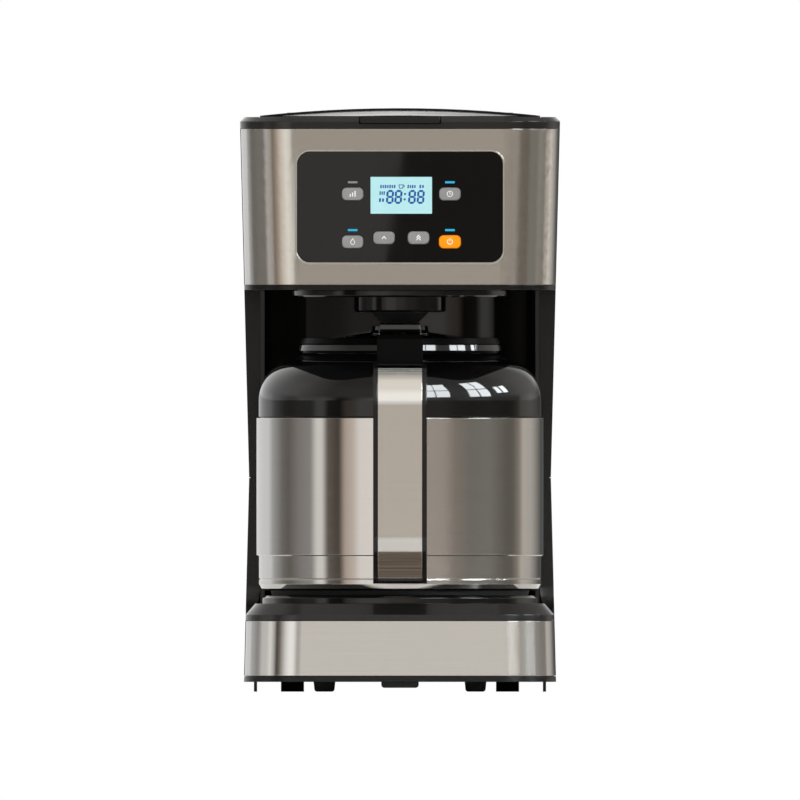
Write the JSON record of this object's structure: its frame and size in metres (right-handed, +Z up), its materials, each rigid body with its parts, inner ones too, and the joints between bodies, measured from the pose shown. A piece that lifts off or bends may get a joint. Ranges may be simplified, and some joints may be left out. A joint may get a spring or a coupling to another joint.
{
  "type": "drip coffee maker",
  "caption": "Free-standing drip coffee maker with a steel-fronted brew head, rear water column, control panel, hinged lid and a steel vacuum carafe with a thumb lever.",
  "frame": {"origin": "centre of the object's footprint box, on the surface it stands on", "axes": "+X to the object's right seen from the front, -Y the front, +Z up"},
  "size_m": [0.2, 0.28, 0.3647],
  "materials": {
    "housing": "fine moulded texture",
    "gloss_black": "polished",
    "steel_skin": "horizontal brushing",
    "carafe_steel": "horizontal brushing",
    "bright_trim": "polished",
    "panel_glass": "high gloss",
    "display": "backlit display",
    "indicator": "light pipe",
    "key_grey": "satin",
    "key_orange": "satin",
    "foot_rubber": "matte",
    "window": "smoked clear",
    "tank": "translucent",
    "inner_plastic": "fine texture",
    "basket": "fine texture",
    "mesh": "fine gold-tone mesh",
    "liner": "drawn",
    "heater": "cast",
    "silicone": "soft",
    "circuit_board": "solder mask",
    "fastener": "zinc plated"
  },
  "bodies": {
    "machine": {"base_housing": "housing", "lower_column": "housing", "base_steel_band": "steel_skin", "bottom_cover": "housing", "feet": "foot_rubber", "carafe_platform": "gloss_black", "recess_panel": "gloss_black", "upper_housing": "housing", "level_window": "window", "head_steel_wrap": "steel_skin", "top_rim": "gloss_black", "inner_deck": "housing", "cord_inlet": "foot_rubber", "panel_bezel": "bright_trim", "panel_glass": "panel_glass", "display_module": "display", "indicator_bars": "indicator", "tact_switches": "inner_plastic", "control_board": "circuit_board", "board_screws": "fastener", "water_tank": "tank", "heater": "heater", "thermostat": "fastener", "inlet_hose": "silicone", "outlet_hose": "silicone", "riser_tube": "inner_plastic", "riser_seal": "silicone", "power_board": "circuit_board", "brew_chamber": "gloss_black", "hinge_pins": "fastener"},
    "lid": {"lid": "gloss_black", "lid_steel_inlay": "steel_skin", "lid_inner_cover": "inner_plastic", "spray_head": "inner_plastic"},
    "basket": {"filter_basket": "basket", "mesh_filter": "mesh", "drip_spring": "fastener"},
    "drip_valve": {"drip_valve": "silicone"},
    "carafe": {"carafe_body": "carafe_steel", "carafe_lower_shell": "carafe_steel", "carafe_base_pad": "foot_rubber", "carafe_liner": "liner", "liner_base": "liner", "liner_neck": "liner", "carafe_collar": "gloss_black", "carafe_handle": "housing", "handle_inlay": "steel_skin"},
    "carafe_lid": {"carafe_lid": "gloss_black", "carafe_lid_base": "inner_plastic", "carafe_lid_seal": "silicone", "pour_spring": "fastener", "lever_pin": "fastener"},
    "thumb_lever": {"thumb_lever": "gloss_black"},
    "pour_valve": {"pour_valve": "inner_plastic"},
    "strength_key": {"strength_key": "key_grey"},
    "program_key": {"program_key": "key_grey"},
    "clean_key": {"clean_key": "key_grey"},
    "power_key": {"power_key": "key_orange"},
    "hour_key": {"hour_key": "key_grey"},
    "minute_key": {"minute_key": "key_grey"}
  },
  "joints": [
    {"name": "lid_hinge", "type": "hinge", "parent": "machine", "child": "lid", "pos_m": [0, 0.134, 0.358], "axis": [-1, 0, 0], "range_deg": [0, 100]},
    {"name": "basket_lift", "type": "slide", "parent": "machine", "child": "basket", "axis": [0, 0, 1], "range_m": [0, 0.009]},
    {"name": "carafe_slide", "type": "slide", "parent": "machine", "child": "carafe", "axis": [0, -1, 0], "range_m": [0, 0.23]},
    {"name": "drip_valve_slide", "type": "slide", "parent": "basket", "child": "drip_valve", "axis": [0, 0, -1], "range_m": [0, 0.0047]},
    {"name": "carafe_lid_twist", "type": "hinge", "parent": "carafe", "child": "carafe_lid", "pos_m": [0, -0.008, 0.2], "axis": [0, 0, 1], "range_deg": [0, 40]},
    {"name": "thumb_lever_pivot", "type": "hinge", "parent": "carafe_lid", "child": "thumb_lever", "pos_m": [0, -0.03, 0.2235], "axis": [1, 0, 0], "range_deg": [0, 8], "stiffness_Nm_per_rad": 0.8, "springref_deg": -2.86},
    {"name": "pour_valve_slide", "type": "slide", "parent": "carafe_lid", "child": "pour_valve", "axis": [0, 0, -1], "range_m": [0, 0.0026]},
    {"name": "strength_key_press", "type": "slide", "parent": "machine", "child": "strength_key", "axis": [0, 0.9997, 0.0257], "range_m": [0, 0.0008], "stiffness_N_per_m": 1000},
    {"name": "program_key_press", "type": "slide", "parent": "machine", "child": "program_key", "axis": [0, 0.9997, 0.0257], "range_m": [0, 0.0008], "stiffness_N_per_m": 1000},
    {"name": "clean_key_press", "type": "slide", "parent": "machine", "child": "clean_key", "axis": [0, 0.9997, 0.0257], "range_m": [0, 0.0008], "stiffness_N_per_m": 1000},
    {"name": "power_key_press", "type": "slide", "parent": "machine", "child": "power_key", "axis": [0, 0.9997, 0.0257], "range_m": [0, 0.0008], "stiffness_N_per_m": 1000},
    {"name": "hour_key_press", "type": "slide", "parent": "machine", "child": "hour_key", "axis": [0, 0.9997, 0.0257], "range_m": [0, 0.0008], "stiffness_N_per_m": 1000},
    {"name": "minute_key_press", "type": "slide", "parent": "machine", "child": "minute_key", "axis": [0, 0.9997, 0.0257], "range_m": [0, 0.0008], "stiffness_N_per_m": 1000}
  ],
  "couplings": [
    {"joint": "drip_valve_slide", "follows": "carafe_slide", "ratio": 0.02},
    {"joint": "pour_valve_slide", "follows": "thumb_lever_pivot", "m_per_rad": 0.018}
  ]
}
